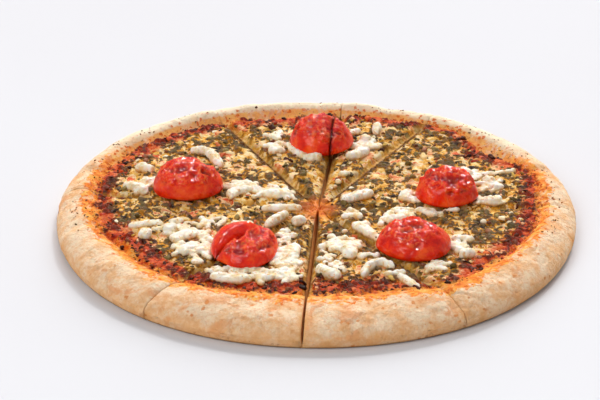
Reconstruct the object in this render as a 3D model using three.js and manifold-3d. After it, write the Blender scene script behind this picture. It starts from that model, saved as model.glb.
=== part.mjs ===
// A round pesto pizza, baked and then cut with a knife into eight uneven slices that still lie together.
// Millimetres, +Z up. The underside rests on Z = 0, and the origin is the middle of the pizza's box there.

import * as THREE from "three";
import { mergeVertices } from "three/addons/utils/BufferGeometryUtils.js";
import Module from "manifold-3d";

const wasm = await Module();
wasm.setup();

// ---- Driving dimensions -------------------------------------------------------------------------

const PIZZA_RADIUS = 149;
const EDGE_LOBES = [
  { count: 2, height: 1.1, turn: -21.5 },
  { count: 3, height: 1.0, turn: 71 },
  { count: 4, height: 0.9, turn: 167 },
];

// How far in from the edge the sauce begins. The rim is narrow at the back and widest at the front.
const SAUCE_EDGE = 22;
const SAUCE_SHIFT = 6;
const SAUCE_FRONT = 12;

// The rim rises, stays level and falls at these parts of the way in to the sauce's edge.
const RIM_HEIGHT = 15.5;
const RIM_ROUNDING = 0.6;
const RIM_ROUNDNESS = 1.6; // 2 would make the rise a quarter ellipse, and 1 a straight slope
const RIM_CREST_END = 0.7;
const RIM_END = 1.27; // from here in the dough is flat
const WIDEST_Z = 5.5; // the height at which the rim stands out furthest
const FOOT = 4; // how far the underside is tucked in below that
const BED_Z = 9; // the flat dough under the topping

const RIM_PUFFS = [
  { count: 5, height: 0.5, turn: 40 },
  { count: 9, height: 0.4, turn: 110 },
];
const RIM_FOLDS = [
  { angle: 21, depth: 1.6, halfWidth: 5 },
  { angle: 160, depth: 1.3, halfWidth: 5 },
  { angle: 191, depth: 1.1, halfWidth: 5 },
];
const KNIFE_DIP = 1.4; // the knife presses the dough and the topping down this far at a cut
const KNIFE_REACH = 1.8; // and this many degrees away from it, seen from the slice's tip, they are level

const GAP = 0.3; // clearance between pieces that touch
const TOPPING_TOP = 13;
const TOPPING_LIP = 0.5; // the topping's thickness at its outer edge
const TOPPING_RIPPLE = 0.8;

// Each cut runs from the crossing towards the rim. Its half gap is half of what lies open between slices.
const CROSSING = new THREE.Vector2(1.3, -4);
const CUTS = [
  { angle: 1, halfGap: 0.2 },
  { angle: 60.5, halfGap: 1.7 },
  { angle: 84, halfGap: 1.5 },
  { angle: 116, halfGap: 1.6 },
  { angle: 172, halfGap: 0.2 },
  { angle: 230.2, halfGap: 1.2 },
  { angle: 266.7, halfGap: 1.4 },
  { angle: 303.4, halfGap: 1.5 },
];

// Baked tomato halves at the place of their middle. cut is the index of a cut through one, and the knife
// pressed that one down by press, a part of its height.
const TOMATOES = [
  { slice: 1, at: [75, 10], long: 36.5, wide: 33, tall: 17.5, turn: 0 },
  { slice: 3, at: [3.8, 79], long: 38, wide: 36, tall: 19.5, turn: 0, cut: 2, press: 0.4 },
  { slice: 4, at: [-73.8, 17.2], long: 41, wide: 36, tall: 17.5, turn: 0 },
  { slice: 6, at: [-39.5, -61.5], long: 42, wide: 38, tall: 18, turn: 90, cut: 5, press: 0.75 },
  { slice: 8, at: [54.4, -56.5], long: 41, wide: 36, tall: 16, turn: -6 },
];
// The outline of a tomato half from its base to its top, as parts of its half width and of its height.
const TOMATO_OUTLINE = [
  [0, 0],
  [0.6, 0],
  [0.86, 0.15],
  [0.98, 0.34],
  [0.99, 0.52],
  [0.86, 0.77],
  [0.54, 0.94],
  [0, 1],
];
const TOMATO_SIDES = 20;
const TOMATO_LUMP = 0.02;
const TOMATO_PRESS_REACH = 7; // the press of the knife fades out over about this far from the cut

// The larger clumps and strands of soft white cheese: the line each one follows, and its width and height.
const CHEESE = [
  { slice: 1, line: [[14, 4], [22, 7], [33, 15]], wide: 8, tall: 5 },
  { slice: 1, line: [[49, 5], [54, 16]], wide: 8, tall: 4 },
  { slice: 1, line: [[85, 45], [90, 35]], wide: 7, tall: 5 },
  { slice: 1, line: [[97, 33], [104, 28]], wide: 6, tall: 4 },
  { slice: 1, line: [[97, 4], [107, 5]], wide: 8, tall: 4 },
  { slice: 2, line: [[27, 84], [32, 88]], wide: 9, tall: 5 },
  { slice: 2, line: [[17, 62], [26, 65], [31, 72]], wide: 7, tall: 5 },
  { slice: 2, line: [[37, 107], [36, 93]], wide: 6, tall: 5 },
  { slice: 3, line: [[-28, 69], [-20, 72]], wide: 9, tall: 5 },
  { slice: 3, line: [[-8, 60], [4, 60]], wide: 6, tall: 5 },
  { slice: 4, line: [[-75, 68], [-65, 70], [-60, 59], [-55, 47]], wide: 7, tall: 5 },
  { slice: 4, line: [[-106, 47], [-94, 42]], wide: 7, tall: 5 },
  { slice: 4, line: [[-112, 21], [-104, 20], [-97, 14]], wide: 9, tall: 5 },
  { slice: 4, line: [[-50, 9], [-43, 18], [-37, 15]], wide: 9, tall: 4 },
  { slice: 4, line: [[-29, 14], [-22, 11], [-14, 14]], wide: 10, tall: 4 },
  { slice: 5, line: [[-99, -40], [-91, -41]], wide: 9, tall: 5 },
  { slice: 5, line: [[-86, -34], [-77, -32]], wide: 8, tall: 5 },
  { slice: 5, line: [[-81, -47], [-73, -41], [-65, -35]], wide: 10, tall: 4 },
  { slice: 5, line: [[-75, -64], [-69, -56], [-64, -52]], wide: 10, tall: 4 },
  { slice: 5, line: [[-28, -30], [-22, -21], [-15, -14]], wide: 6, tall: 5 },
  { slice: 5, line: [[-31, -7], [-18, -7], [-7, -7]], wide: 5, tall: 4 },
  { slice: 6, line: [[-13, -26], [-6, -21]], wide: 7, tall: 5 },
  { slice: 6, line: [[-16, -72], [-13, -62], [-11, -52]], wide: 10, tall: 4 },
  { slice: 6, line: [[-58, -90], [-46, -92], [-34, -93]], wide: 9, tall: 4 },
  { slice: 7, line: [[15, -50], [19, -58], [18, -68]], wide: 10, tall: 5 },
  { slice: 7, line: [[26, -91], [29, -78], [36, -72], [43, -81]], wide: 6, tall: 5 },
  { slice: 7, line: [[1, -79], [7, -87], [14, -90]], wide: 8, tall: 5 },
  { slice: 8, line: [[21, -26], [27, -33], [33, -41]], wide: 8, tall: 4 },
  { slice: 8, line: [[39, -23], [48, -21], [57, -18]], wide: 7, tall: 5 },
  { slice: 8, line: [[79, -65], [88, -61]], wide: 7, tall: 5 },
];
const CHEESE_RINGS = 6;
const CHEESE_SIDES = 8;

// How finely the slices are divided, and where their height is set, as parts of the way in to the sauce's edge.
const SLICE_STEP = 7.5;
const RIM_STATIONS = [0, 0.04, 0.15, 0.33, RIM_ROUNDING, RIM_CREST_END, 0.84, 1, 1.13, RIM_END];
const BED_STATIONS = 4;
const FOOT_STATIONS = 3;

const CRUST = { color: 0xe3c79a, roughness: 0.9, metalness: 0 };
const TOPPING = { color: 0x8f7a3c, roughness: 0.6, metalness: 0 };
const TOMATO = { color: 0xb8200f, roughness: 0.3, metalness: 0 };
const WHITE_CHEESE = { color: 0xf1ecd8, roughness: 0.55, metalness: 0 };

// ---- Small helpers ------------------------------------------------------------------------------

const { degToRad, lerp, smoothstep } = THREE.MathUtils;

function direction(degrees) {
  return new THREE.Vector2(Math.cos(degToRad(degrees)), Math.sin(degToRad(degrees)));
}

// A sum of round waves, each with its own count in one turn.
function waves(list, degrees) {
  const heights = list.map((wave) => wave.height * Math.cos(degToRad(wave.count * degrees - wave.turn)));
  return heights.reduce((sum, height) => sum + height, 0);
}

// Skins a row of closed rings of equal length, and closes the first and last one with flat caps.
// A ring may shrink to a point, and rings may share points: what has no area is dropped.
function skinRings(rings, capOutline) {
  const size = rings[0].length;
  const triangles = [];
  for (let row = 0; row + 1 < rings.length; row += 1) {
    for (let i = 0; i < size; i += 1) {
      const near = row * size;
      const next = (i + 1) % size;
      triangles.push([near + i, near + next, near + size + next]);
      triangles.push([near + i, near + size + next, near + size + i]);
    }
  }
  if (capOutline) {
    const last = (rings.length - 1) * size;
    for (const [a, b, c] of THREE.ShapeUtils.triangulateShape(capOutline(rings[0]), [])) {
      triangles.push([c, b, a]);
    }
    for (const [a, b, c] of THREE.ShapeUtils.triangulateShape(capOutline(rings.at(-1)), [])) {
      triangles.push([last + a, last + b, last + c]);
    }
  }
  return closedGeometry(rings.flat(), triangles);
}

function closedGeometry(points, triangles) {
  const loose = new THREE.BufferGeometry().setFromPoints(points);
  loose.setIndex(triangles.flat());
  const merged = mergeVertices(loose, 1e-3);
  const index = merged.getIndex().array;
  const kept = [];
  for (let i = 0; i < index.length; i += 3) {
    const [a, b, c] = [index[i], index[i + 1], index[i + 2]];
    if (a !== b && b !== c && c !== a) {
      kept.push(a, b, c);
    }
  }
  merged.setIndex(signedVolume(merged, kept) < 0 ? kept.reverse() : kept);
  merged.computeVertexNormals();
  return merged;
}

function signedVolume(geometry, index) {
  const position = geometry.getAttribute("position");
  const corner = (i) => new THREE.Vector3().fromBufferAttribute(position, index[i]);
  let volume = 0;
  for (let i = 0; i < index.length; i += 3) {
    volume += corner(i).dot(corner(i + 1).cross(corner(i + 2))) / 6;
  }
  return volume;
}

function namedMesh(name, geometry, look) {
  const mesh = new THREE.Mesh(geometry, new THREE.MeshStandardMaterial(look));
  mesh.name = name;
  return mesh;
}

// ---- The pizza's outline and slices -------------------------------------------------------------

function outlineRadius(point) {
  const degrees = THREE.MathUtils.radToDeg(Math.atan2(point.y, point.x));
  return PIZZA_RADIUS + waves(EDGE_LOBES, degrees);
}

// The tip of the slice between two cuts: where its two faces meet, each moved in by its half gap.
function sliceTip(first, second) {
  const a = direction(first.angle);
  const b = direction(second.angle);
  const spread = a.x * b.y - a.y * b.x;
  const along = a.multiplyScalar(second.halfGap).add(b.multiplyScalar(first.halfGap));
  return CROSSING.clone().addScaledVector(along, 1 / spread);
}

// How far the pizza reaches from a slice's tip in one direction.
function reachFrom(tip, degrees) {
  const heading = direction(degrees);
  let reach = PIZZA_RADIUS;
  for (let pass = 0; pass < 20; pass += 1) {
    const point = tip.clone().addScaledVector(heading, reach);
    reach += outlineRadius(point) - point.length();
  }
  return reach;
}

function sauceEdge(degrees) {
  const back = Math.sin(degToRad(degrees));
  return SAUCE_EDGE - SAUCE_SHIFT * back + SAUCE_FRONT * Math.max(0, -back) ** 3;
}

function rimCrest(ray) {
  const dip = ray.atCut ? KNIFE_DIP : 0;
  const folds = RIM_FOLDS.reduce((sum, fold) => {
    const away = (ray.angle - fold.angle) / fold.halfWidth;
    return sum + fold.depth * Math.exp(-away * away);
  }, 0);
  return RIM_HEIGHT + waves(RIM_PUFFS, ray.angle) - dip - folds;
}

// The dough's height at a part of the way in to the sauce's edge.
function crustHeight(ray, part) {
  const crest = rimCrest(ray);
  if (part < RIM_ROUNDING) {
    const short = 1 - part / RIM_ROUNDING;
    return lerp(WIDEST_Z, crest, (1 - short ** RIM_ROUNDNESS) ** (1 / RIM_ROUNDNESS));
  }
  return lerp(crest, BED_Z, smoothstep(part, RIM_CREST_END, RIM_END));
}

// The topping's surface stays at or below TOPPING_TOP, so that what lies on it has a level bed.
function toppingHeight(ray, part, out) {
  const x = ray.tip.x + out * direction(ray.angle).x;
  const y = ray.tip.y + out * direction(ray.angle).y;
  const ripple = TOPPING_RIPPLE * Math.sin(x / 9) ** 2 * Math.cos(y / 11) ** 2;
  const edge = crustHeight(ray, part) + GAP + TOPPING_LIP;
  const top = TOPPING_TOP - (ray.atCut ? KNIFE_DIP : ripple);
  return lerp(edge, top, smoothstep(part, 1, RIM_END));
}

// The fan of directions from the slice's tip to the rim: its two cut faces, and close steps between them.
function sliceRays(tip, first, second) {
  const span = (second.angle - first.angle + 360) % 360;
  const steps = Math.ceil(span / SLICE_STEP);
  const inner = Array.from({ length: steps + 1 }, (_, i) => lerp(KNIFE_REACH, span - KNIFE_REACH, i / steps));
  return [0, ...inner, span].map((turn) => {
    const angle = first.angle + turn;
    const atCut = turn === 0 || turn === span;
    return { tip, angle, atCut, reach: reachFrom(tip, angle), edge: sauceEdge(angle) };
  });
}

// A point of a slice in its own frame, whose origin is under the tip.
function onRay(ray, out, z) {
  const heading = direction(ray.angle);
  return new THREE.Vector3(heading.x * out, heading.y * out, z);
}

function uprightOutline(ring) {
  return ring.map((point) => new THREE.Vector2(Math.hypot(point.x, point.y), point.z));
}

// Distances out from the tip across the flat dough, ending at the tip itself.
function bedStations(ray) {
  const inner = ray.reach - ray.edge * RIM_END;
  return Array.from({ length: BED_STATIONS }, (_, i) => (inner * (BED_STATIONS - 1 - i)) / BED_STATIONS);
}

function crustRing(ray) {
  const foot = Array.from({ length: FOOT_STATIONS }, (_, i) => {
    const turn = (Math.PI / 2) * (i / FOOT_STATIONS);
    return onRay(ray, ray.reach - FOOT * (1 - Math.sin(turn)), WIDEST_Z * (1 - Math.cos(turn)));
  });
  const rim = RIM_STATIONS.map((part) => onRay(ray, ray.reach - part * ray.edge, crustHeight(ray, part)));
  const bed = bedStations(ray).map((out) => onRay(ray, out, BED_Z));
  return [onRay(ray, 0, 0), ...foot, ...rim, ...bed];
}

function toppingRing(ray) {
  const covered = RIM_STATIONS.filter((part) => part >= 1);
  const outs = [...covered.map((part) => ray.reach - part * ray.edge), ...bedStations(ray)];
  const parts = outs.map((out) => (ray.reach - out) / ray.edge);
  const under = outs.map((out, i) => onRay(ray, out, crustHeight(ray, parts[i]) + GAP));
  const over = outs.map((out, i) => onRay(ray, out, toppingHeight(ray, parts[i], out)));
  return [...under.reverse(), ...over];
}

function makeSlice(number) {
  const first = CUTS[number - 1];
  const second = CUTS[number % CUTS.length];
  const tip = sliceTip(first, second);
  const rays = sliceRays(tip, first, second);
  const slice = new THREE.Group();
  slice.position.set(tip.x, tip.y, 0);
  slice.add(namedMesh(`slice${number}_crust`, skinRings(rays.map(crustRing), uprightOutline), CRUST));
  slice.add(namedMesh(`slice${number}_topping`, skinRings(rays.map(toppingRing), uprightOutline), TOPPING));
  return slice;
}

// ---- Tomato halves ------------------------------------------------------------------------------

function tomatoGeometry(tomato) {
  const outline = TOMATO_OUTLINE.map(([out, up]) => new THREE.Vector2(out, up));
  const geometry = new THREE.LatheGeometry(outline, TOMATO_SIDES);
  geometry.rotateX(Math.PI / 2);
  const position = geometry.getAttribute("position");
  for (let i = 0; i < position.count; i += 1) {
    const turn = Math.atan2(position.getY(i), position.getX(i));
    const lumps = Math.cos(3 * turn + degToRad(tomato.turn)) + Math.cos(5 * turn);
    const swell = 1 + TOMATO_LUMP * lumps;
    position.setXY(i, position.getX(i) * swell, position.getY(i) * swell);
  }
  geometry.scale(tomato.long / 2, tomato.wide / 2, tomato.tall);
  geometry.rotateZ(degToRad(tomato.turn));
  if (tomato.cut !== undefined) {
    pressTomato(position, tomato, CUTS[tomato.cut]);
  }
  return weld(geometry);
}

function pressTomato(position, tomato, cut) {
  const along = direction(cut.angle);
  for (let i = 0; i < position.count; i += 1) {
    const x = tomato.at[0] + position.getX(i) - CROSSING.x;
    const y = tomato.at[1] + position.getY(i) - CROSSING.y;
    const away = (along.x * y - along.y * x) / TOMATO_PRESS_REACH;
    position.setZ(i, position.getZ(i) * (1 - tomato.press * Math.exp(-away * away)));
  }
}

// Keeps only the places of the corners, so that corners at one place become one.
function weld(geometry) {
  geometry.deleteAttribute("normal");
  geometry.deleteAttribute("uv");
  const position = geometry.getAttribute("position");
  const corner = (_, i) => new THREE.Vector3().fromBufferAttribute(position, i);
  const points = Array.from({ length: position.count }, corner);
  const index = geometry.getIndex().array;
  const triangles = Array.from({ length: index.length / 3 }, (_, i) => [...index.slice(3 * i, 3 * i + 3)]);
  return closedGeometry(points, triangles);
}

function toManifold(geometry) {
  const vertProperties = new Float32Array(geometry.getAttribute("position").array);
  const triVerts = new Uint32Array(geometry.getIndex().array);
  return new wasm.Manifold(new wasm.Mesh({ numProp: 3, vertProperties, triVerts }));
}

function fromManifold(solid) {
  const { vertProperties, triVerts } = solid.getMesh();
  const geometry = new THREE.BufferGeometry();
  geometry.setAttribute("position", new THREE.BufferAttribute(vertProperties, 3));
  geometry.setIndex(new THREE.BufferAttribute(triVerts, 1));
  geometry.computeVertexNormals();
  return geometry;
}

// All that lies on one side of a cut, seen from the tomato: side 1 is anticlockwise of it, -1 clockwise.
function besideCut(tomato, cut, side) {
  const size = 4 * PIZZA_RADIUS;
  const block = new THREE.BoxGeometry(size, size, size);
  block.translate(0, side * (size / 2 + cut.halfGap), 0);
  block.rotateZ(degToRad(cut.angle));
  block.translate(CROSSING.x - tomato.at[0], CROSSING.y - tomato.at[1], 0);
  return weld(block);
}

function makeTomato(tomato) {
  const group = new THREE.Group();
  group.position.set(...tomato.at, TOPPING_TOP + GAP);
  const whole = tomatoGeometry(tomato);
  if (tomato.cut === undefined) {
    group.add(namedMesh(`slice${tomato.slice}_tomato`, whole, TOMATO));
    return group;
  }
  for (const side of [1, -1]) {
    const block = besideCut(tomato, CUTS[tomato.cut], side);
    const piece = fromManifold(toManifold(whole).intersect(toManifold(block)));
    const slice = side > 0 ? tomato.slice : tomato.slice - 1;
    group.add(namedMesh(`slice${slice}_tomato`, piece, TOMATO));
  }
  return group;
}

// ---- White cheese -------------------------------------------------------------------------------

// A strand with blunt round ends along its line, round above and flat below.
function cheeseGeometry({ line, wide, tall }) {
  const curve = new THREE.CatmullRomCurve3(line.map(([x, y]) => new THREE.Vector3(x, y, 0)));
  const rings = Array.from({ length: CHEESE_RINGS + 1 }, (_, row) => {
    const turn = (Math.PI * row) / CHEESE_RINGS;
    const share = (1 - Math.cos(turn)) / 2;
    const full = row === 0 || row === CHEESE_RINGS ? 0 : Math.sqrt(Math.sin(turn));
    const centre = curve.getPointAt(share);
    const ahead = curve.getTangentAt(share);
    return Array.from({ length: CHEESE_SIDES }, (_unused, side) => {
      const around = (2 * Math.PI * side) / CHEESE_SIDES;
      const across = (Math.cos(around) * full * wide) / 2;
      const up = Math.max(0, 0.35 * tall + 0.65 * tall * Math.sin(around) * full);
      return new THREE.Vector3(centre.x - ahead.y * across, centre.y + ahead.x * across, up);
    });
  });
  return skinRings(rings);
}

function makeCheese() {
  const group = new THREE.Group();
  group.position.z = TOPPING_TOP + GAP;
  const counts = {};
  for (const piece of CHEESE) {
    counts[piece.slice] = (counts[piece.slice] ?? 0) + 1;
    const name = `slice${piece.slice}_cheese${counts[piece.slice]}`;
    group.add(namedMesh(name, cheeseGeometry(piece), WHITE_CHEESE));
  }
  return group;
}

// ---- The whole pizza ----------------------------------------------------------------------------

const pizza = new THREE.Group();
for (let number = 1; number <= CUTS.length; number += 1) {
  pizza.add(makeSlice(number));
}
for (const tomato of TOMATOES) {
  pizza.add(makeTomato(tomato));
}
pizza.add(makeCheese());

const middle = new THREE.Box3().setFromObject(pizza, true).getCenter(new THREE.Vector3());
pizza.position.set(-middle.x, -middle.y, 0);

export default pizza;
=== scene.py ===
"""The looks of a baked pesto pizza cut into eight slices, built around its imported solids.

Sizes and places are in millimetres until a mesh is made. Angles are seen from above, anticlockwise from +X.
"""

import math
from collections import namedtuple

import bmesh
import bpy
import numpy as np
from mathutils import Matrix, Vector
from mathutils.bvhtree import BVHTree


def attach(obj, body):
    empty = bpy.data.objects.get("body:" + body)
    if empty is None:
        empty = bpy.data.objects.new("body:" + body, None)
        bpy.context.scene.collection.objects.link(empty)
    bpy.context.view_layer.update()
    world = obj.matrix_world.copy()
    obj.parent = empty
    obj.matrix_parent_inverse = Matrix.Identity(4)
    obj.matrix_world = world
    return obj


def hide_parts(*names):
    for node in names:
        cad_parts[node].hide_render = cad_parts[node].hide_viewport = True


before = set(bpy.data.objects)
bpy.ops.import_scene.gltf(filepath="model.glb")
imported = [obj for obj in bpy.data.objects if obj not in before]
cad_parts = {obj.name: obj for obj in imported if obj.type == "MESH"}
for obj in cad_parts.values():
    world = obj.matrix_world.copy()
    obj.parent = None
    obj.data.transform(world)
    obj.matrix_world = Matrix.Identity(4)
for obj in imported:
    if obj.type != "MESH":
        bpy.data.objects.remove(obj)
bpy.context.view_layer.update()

MM = 0.001
SLICES = range(1, 9)

# ---- Driving sizes ----

SKIN_INSET = 0.8  # the smooth dough lies this far inside its solid, which leaves room for its bumps
WIDEST_Z = 5.5  # the height at which a slice reaches furthest out
FOOT = 2.8  # how far in from there its underside begins to lie flat
BED_Z = 9.0  # the dough's surface under the topping
RIM_HEIGHT = 15.2
RIM_ROUNDNESS = 1.7  # 1 would make the rim's outer side a straight slope, and 2 a quarter of an ellipse
LONGEST = 150.0  # no slice reaches this far out

# How far in from the edge the rim ends: at the sides, how much less at the back, how much more in front.
SAUCE_EDGE = 22.0
SAUCE_SHIFT = 6.0
SAUCE_FRONT = 12.0

# Where the sauce itself begins nearer to the edge (minus) or further in: the angle, the millimetres, and
# the half width in degrees.
SAUCE_BAYS = [
    (20, -3, 6), (38, 8, 9), (70, 2, 10), (100, 8, 18), (132, 4, 14), (206, 5, 12), (306, -9, 10),
]

# Parts of the way in to the sauce's edge.
RIM_ROUNDING = 0.62
RIM_CREST_END = 0.68
RIM_END = 1.3
TOPPING_FROM = 0.66

TOPPING_Z = 12.3

# Each cut, from the one on the right anticlockwise: half the gap between its walls, how much of that gap the
# rim closes and the topping, and how deep the knife dragged down the slices before and after it, and the rim.
Cut = namedtuple("Cut", "half_gap rim_closed bed_closed before after rim_groove")
CUTS = [
    Cut(0.2, 1.0, 0.0, 1.6, 2.6, 0.7),
    Cut(1.7, 1.0, 0.25, 1.0, 4.0, 0.6),
    Cut(1.5, 1.0, 0.5, 2.8, 2.0, 0.3),
    Cut(1.6, 1.0, 0.2, 4.0, 1.0, 0.7),
    Cut(0.2, 1.0, 0.0, 2.6, 1.6, 0.5),
    Cut(1.2, 0.9, 0.1, 3.8, 0.8, 1.1),
    Cut(1.4, 0.5, 0.1, 1.8, 1.8, 1.0),
    Cut(1.5, 0.9, 0.35, 0.8, 3.8, 1.1),
]
CROSSING = (0.86, -3.07)  # where the cuts meet
GROOVE_REACH = 2.4  # how far from a cut the topping is dragged down
TOUCHING = 0.12  # how far a closed wall stays from the middle of its cut

RIM_STEP = 0.8
TOPPING_STEP = 0.7
WALL_LEVELS = np.linspace(0, 1, 9)
HIDDEN_STEP = 5.0

# ---- Noise ----


def hashed(x, y, z, seed):
    """A repeatable random number from 0 to 1 for each whole-number place."""
    n = x * 374761393 + y * 668265263 + z * 2147483647 + seed * 1274126177
    n = (n ^ (n >> 13)) & 0xFFFFFFFF
    n = (n * 1274126177) & 0xFFFFFFFF
    return ((n ^ (n >> 16)) & 0xFFFFFF) / 0xFFFFFF


def noise(points, size, seed):
    """Smooth noise from -1 to 1, with bumps of about the given size."""
    places = points / size
    corner = np.floor(places).astype(np.int64)
    part = places - corner
    part = part * part * part * (part * (part * 6 - 15) + 10)
    total = np.zeros(len(points))
    for dx in (0, 1):
        wx = part[:, 0] if dx else 1 - part[:, 0]
        for dy in (0, 1):
            wy = part[:, 1] if dy else 1 - part[:, 1]
            for dz in (0, 1):
                wz = part[:, 2] if dz else 1 - part[:, 2]
                x, y, z = (corner + (dx, dy, dz)).T
                total += wx * wy * wz * hashed(x, y, z, seed)
    return 2 * total - 1


def rough_noise(points, size, seed, octaves=3):
    """Layers of noise, each half as large and half as strong as the one before."""
    layers = [noise(points + 31.7 * i, size / 2**i, seed + i) / 2**i for i in range(octaves)]
    return sum(layers) / (2 - 2 ** (1 - octaves))


def lumps(points, size, seed):
    """Scattered centres seen from above: how far off the nearest is, and two random numbers it owns."""
    places = points[:, :2] / size
    corner = np.floor(places).astype(np.int64)
    nearest = np.full(len(points), 9.0)
    owned = np.zeros((len(points), 2))
    for dx in (-1, 0, 1):
        for dy in (-1, 0, 1):
            x, y = corner[:, 0] + dx, corner[:, 1] + dy
            across = places[:, 0] - x - hashed(x, y, 0, seed)
            along = places[:, 1] - y - hashed(x, y, 1, seed)
            away = np.hypot(across, along)
            own = np.column_stack([hashed(x, y, 2, seed), hashed(x, y, 3, seed)])
            owned = np.where((away < nearest)[:, None], own, owned)
            nearest = np.minimum(nearest, away)
    return nearest, owned


def domes(nearest, width=0.62):
    """Rounded tops over scattered centres, from 1 at each centre down to 0."""
    return np.clip(1 - (nearest / width) ** 2, 0, 1)


def smoothstep(value, low, high):
    """0 below one limit and 1 above the other, with a smooth way between them."""
    part = np.clip((value - low) / (high - low), 0, 1)
    return part * part * (3 - 2 * part)


def lerp(a, b, part):
    """What lies the given part of the way from one value to another."""
    return a + (b - a) * part


def fading(distance, reach):
    """1 at no distance, and down to about a third at the given reach."""
    return np.exp(-((distance / reach) ** 2))


def degrees_from(angles, angle):
    """How many degrees lie between angles and one that is given in degrees."""
    return (np.degrees(angles) - angle + 180) % 360 - 180


# ---- Meshes ----


def mesh_arrays(mesh, unit):
    """A mesh's points, in the given unit, and its triangles."""
    mesh.calc_loop_triangles()
    points = np.array([v.co for v in mesh.vertices]) / unit
    return points, np.array([t.vertices for t in mesh.loop_triangles])


def node_mesh(name):
    """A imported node's points in millimetres, and its triangles."""
    return welded(*mesh_arrays(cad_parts[name].data, MM))


def welded(points, triangles):
    """Joins points that lie at one place, and drops triangles that have no area left."""
    keys = np.round(points * 1000).astype(np.int64)
    _, first, place = np.unique(keys, axis=0, return_index=True, return_inverse=True)
    triangles = place.reshape(-1)[triangles]
    a, b, c = triangles.T
    return points[first], triangles[(a != b) & (b != c) & (c != a)]


def joined(parts):
    """Several (points, triangles) as one."""
    starts = np.cumsum([0] + [len(points) for points, _ in parts[:-1]])
    points = np.concatenate([points for points, _ in parts])
    triangles = np.concatenate([triangles + start for (_, triangles), start in zip(parts, starts)])
    return points, triangles


def sphere_mesh(fineness):
    """A sphere of radius 1 as (points, triangles)."""
    sphere = bmesh.new()
    bmesh.ops.create_icosphere(sphere, subdivisions=fineness, radius=1)
    points = np.array([v.co for v in sphere.verts])
    triangles = np.array([[v.index for v in face.verts] for face in sphere.faces])
    sphere.free()
    return points, triangles


def corners(points, triangles):
    """The places of all triangles' first, second and third corners."""
    return [points[triangles[:, i]] for i in range(3)]


def normals(points, triangles):
    """The way out of a closed skin at each of its points."""
    a, b, c = corners(points, triangles)
    faces = np.cross(b - a, c - a)
    total = np.zeros_like(points)
    for corner in range(3):
        for axis in range(3):
            total[:, axis] += np.bincount(triangles[:, corner], faces[:, axis], len(points))
    return total / np.maximum(np.linalg.norm(total, axis=1), 1e-9)[:, None]


def outward(points, triangles):
    """The triangles, turned so that they face out of their closed skin."""
    a, b, c = corners(points, triangles)
    volume = np.einsum("ij,ij->i", a, np.cross(b, c)).sum()
    return triangles if volume > 0 else triangles[:, ::-1]


def add_piece(name, points, triangles, material, masks=None):
    """A smooth mesh object on the pizza's body, with a number for each point in every mask."""
    mesh = bpy.data.meshes.new(name)
    mesh.from_pydata((points * MM).tolist(), [], triangles.tolist())
    for mask, values in (masks or {}).items():
        attribute = mesh.attributes.new(mask, "FLOAT", "POINT")
        attribute.data.foreach_set("value", values.astype(np.float32))
    mesh.shade_smooth()
    mesh.materials.append(material)
    piece = bpy.data.objects.new(name, mesh)
    bpy.context.scene.collection.objects.link(piece)
    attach(piece, "root")
    return piece


def remeshed(points, triangles, rounding, voxel, relax):
    """An even closed skin round a closed or self-crossing mesh, rounded first and relaxed afterwards."""
    mesh = bpy.data.meshes.new("rough")
    mesh.from_pydata(points.tolist(), [], triangles.tolist())
    rough = bpy.data.objects.new("rough", mesh)
    bpy.context.scene.collection.objects.link(rough)
    if rounding:
        rough.modifiers.new("Rounding", "SUBSURF").levels = rounding
    remesh = rough.modifiers.new("Remesh", "REMESH")
    remesh.mode = "VOXEL"
    remesh.voxel_size = voxel
    smooth = rough.modifiers.new("Smooth", "SMOOTH")
    smooth.iterations = relax
    fine = mesh_arrays(rough.evaluated_get(bpy.context.evaluated_depsgraph_get()).to_mesh(), 1)
    bpy.data.objects.remove(rough)
    bpy.data.meshes.remove(mesh)
    return fine


# ---- Materials ----


def srgb(red, green, blue):
    """A colour named by its 0 to 255 screen values, as the linear one that a shader takes."""
    parts = [value / 255 for value in (red, green, blue)]
    return [p / 12.92 if p <= 0.04045 else ((p + 0.055) / 1.055) ** 2.4 for p in parts] + [1]


# The colour sockets of a mix node, which has others of the same names for numbers and vectors.
MIX_A = 6
MIX_B = 7
MIX_RESULT = 2


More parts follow.
